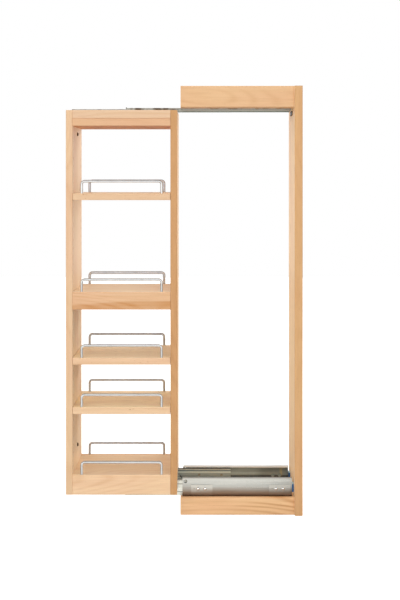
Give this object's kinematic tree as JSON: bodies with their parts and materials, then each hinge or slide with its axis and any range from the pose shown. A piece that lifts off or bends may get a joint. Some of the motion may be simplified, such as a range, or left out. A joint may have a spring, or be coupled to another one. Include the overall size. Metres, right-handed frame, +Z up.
{
  "type": "pull-out pantry cabinet organiser",
  "caption": "Wooden pull-out pantry organiser for a wall cabinet: a shelf carriage with chrome wire rails runs on ball-bearing slides in a C-shaped mounting frame.",
  "frame": {"origin": "middle of the mounting frame's foot, on the cabinet floor", "axes": "+Z up; -X is the way the carriage pulls out; the carriage is drawn fully pulled out and closes along +X; Y is across the cabinet"},
  "size_m": [0.5335, 0.203, 0.972],
  "materials": {
    "frame_maple": "clear satin lacquer",
    "carriage_maple": "clear satin lacquer",
    "dowel_beech": "bare",
    "zinc_steel": "bright zinc plate",
    "chrome_wire": "polished chrome",
    "ball_steel": "polished steel",
    "fastener_steel": "bright zinc plate",
    "blue_plastic": "moulded",
    "black_rubber": "moulded",
    "dark_steel": "black oxide"
  },
  "bodies": {
    "frame": {"top_rail": "frame_maple", "rear_post": "frame_maple", "bottom_rail": "frame_maple", "post_screws": "fastener_steel", "near_outer_member": "zinc_steel", "far_outer_member": "zinc_steel", "top_outer_member": "zinc_steel", "near_front_bracket": "zinc_steel", "near_rear_bracket": "zinc_steel", "far_front_bracket": "zinc_steel", "far_rear_bracket": "zinc_steel", "bracket_rivets": "fastener_steel", "bracket_screws": "fastener_steel", "top_slide_screws": "fastener_steel", "near_bumper": "blue_plastic", "far_bumper": "blue_plastic", "top_stop": "dark_steel"},
    "carriage": {"near_inner_member": "zinc_steel", "far_inner_member": "zinc_steel", "top_inner_member": "zinc_steel", "latch_clips": "dark_steel", "carrier": "zinc_steel", "carrier_screws": "fastener_steel", "inner_member_screws": "fastener_steel", "front_panel": "carriage_maple", "rear_panel": "carriage_maple", "top_board": "carriage_maple", "top_board_lower": "carriage_maple", "middle_shelf": "carriage_maple", "middle_edge_front": "carriage_maple", "middle_edge_back": "carriage_maple", "bottom_shelf": "carriage_maple", "bottom_edge_front": "carriage_maple", "bottom_edge_back": "carriage_maple", "panel_dowels": "dowel_beech", "shelf_pins": "fastener_steel", "middle_rails": "chrome_wire", "bottom_rails": "chrome_wire"},
    "near_middle": {"near_middle_member": "zinc_steel"},
    "near_outer_retainer": {"near_outer_cage": "zinc_steel", "near_outer_balls": "ball_steel"},
    "near_inner_retainer": {"near_inner_cage": "zinc_steel", "near_inner_balls": "ball_steel"},
    "far_middle": {"far_middle_member": "zinc_steel"},
    "far_outer_retainer": {"far_outer_cage": "zinc_steel", "far_outer_balls": "ball_steel"},
    "far_inner_retainer": {"far_inner_cage": "zinc_steel", "far_inner_balls": "ball_steel"},
    "top_middle": {"top_middle_member": "zinc_steel", "top_middle_bumper": "black_rubber"},
    "top_outer_retainer": {"top_outer_cage": "zinc_steel", "top_outer_balls": "ball_steel"},
    "top_inner_retainer": {"top_inner_cage": "zinc_steel", "top_inner_balls": "ball_steel"},
    "first_shelf_unit": {"first_shelf": "carriage_maple", "first_rails": "chrome_wire"},
    "third_shelf_unit": {"third_shelf": "carriage_maple", "third_rails": "chrome_wire"},
    "fourth_shelf_unit": {"fourth_shelf": "carriage_maple", "fourth_rails": "chrome_wire"}
  },
  "joints": [
    {"name": "carriage_slide", "type": "slide", "parent": "frame", "child": "carriage", "axis": [1, 0, 0], "range_m": [0, 0.254]},
    {"name": "near_middle_slide", "type": "slide", "parent": "frame", "child": "near_middle", "axis": [1, 0, 0], "range_m": [0, 0.127]},
    {"name": "near_outer_retainer_slide", "type": "slide", "parent": "frame", "child": "near_outer_retainer", "axis": [1, 0, 0], "range_m": [0, 0.0635]},
    {"name": "near_inner_retainer_slide", "type": "slide", "parent": "frame", "child": "near_inner_retainer", "axis": [1, 0, 0], "range_m": [0, 0.1905]},
    {"name": "far_middle_slide", "type": "slide", "parent": "frame", "child": "far_middle", "axis": [1, 0, 0], "range_m": [0, 0.127]},
    {"name": "far_outer_retainer_slide", "type": "slide", "parent": "frame", "child": "far_outer_retainer", "axis": [1, 0, 0], "range_m": [0, 0.0635]},
    {"name": "far_inner_retainer_slide", "type": "slide", "parent": "frame", "child": "far_inner_retainer", "axis": [1, 0, 0], "range_m": [0, 0.1905]},
    {"name": "top_middle_slide", "type": "slide", "parent": "frame", "child": "top_middle", "axis": [1, 0, 0], "range_m": [0, 0.127]},
    {"name": "top_outer_retainer_slide", "type": "slide", "parent": "frame", "child": "top_outer_retainer", "axis": [1, 0, 0], "range_m": [0, 0.0635]},
    {"name": "top_inner_retainer_slide", "type": "slide", "parent": "frame", "child": "top_inner_retainer", "axis": [1, 0, 0], "range_m": [0, 0.1905]},
    {"name": "first_shelf_lift", "type": "slide", "parent": "carriage", "child": "first_shelf_unit", "axis": [0, 0, 1], "range_m": [0, 0.03]},
    {"name": "third_shelf_lift", "type": "slide", "parent": "carriage", "child": "third_shelf_unit", "axis": [0, 0, 1], "range_m": [0, 0.03]},
    {"name": "fourth_shelf_lift", "type": "slide", "parent": "carriage", "child": "fourth_shelf_unit", "axis": [0, 0, 1], "range_m": [0, 0.03]}
  ],
  "couplings": [
    {"joint": "near_middle_slide", "follows": "carriage_slide", "ratio": 0.5},
    {"joint": "near_outer_retainer_slide", "follows": "carriage_slide", "ratio": 0.25},
    {"joint": "near_inner_retainer_slide", "follows": "carriage_slide", "ratio": 0.75},
    {"joint": "far_middle_slide", "follows": "carriage_slide", "ratio": 0.5},
    {"joint": "far_outer_retainer_slide", "follows": "carriage_slide", "ratio": 0.25},
    {"joint": "far_inner_retainer_slide", "follows": "carriage_slide", "ratio": 0.75},
    {"joint": "top_middle_slide", "follows": "carriage_slide", "ratio": 0.5},
    {"joint": "top_outer_retainer_slide", "follows": "carriage_slide", "ratio": 0.25},
    {"joint": "top_inner_retainer_slide", "follows": "carriage_slide", "ratio": 0.75}
  ]
}
